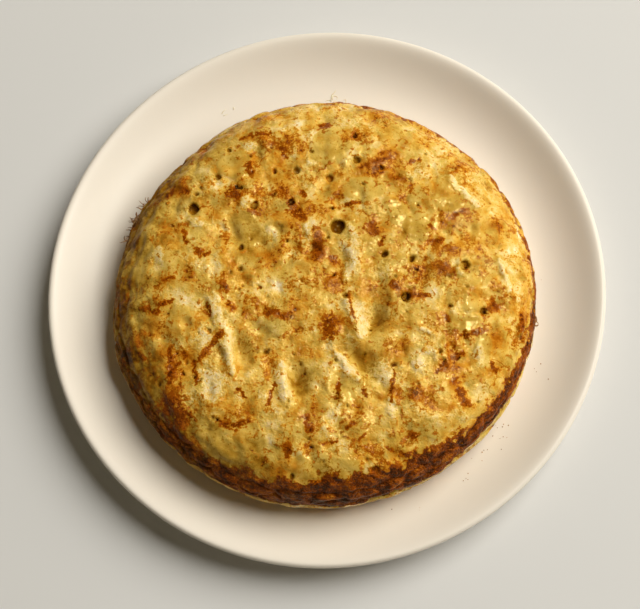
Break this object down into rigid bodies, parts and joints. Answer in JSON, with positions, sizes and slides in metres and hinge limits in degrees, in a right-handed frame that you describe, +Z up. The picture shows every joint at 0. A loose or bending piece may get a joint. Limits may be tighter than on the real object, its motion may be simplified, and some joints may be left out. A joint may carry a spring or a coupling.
{
  "type": "spanish omelette on a plate",
  "caption": "Whole round potato and egg omelette, fried golden with brown flecks, bubbles and dents, lying on a plain cream coupe plate.",
  "frame": {"origin": "centre of the plate's foot ring, on the surface it stands on", "axes": "+Z up, out of the plate; +X and +Y across it, with the omelette's burnt edge towards -Y"},
  "size_m": [0.2698, 0.2698, 0.0459],
  "materials": {
    "plate_glaze": "glossy cream glaze",
    "omelette_crust": "moist fried egg and potato"
  },
  "bodies": {
    "root": {"plate": "plate_glaze", "omelette": "omelette_crust"}
  },
  "joints": []
}
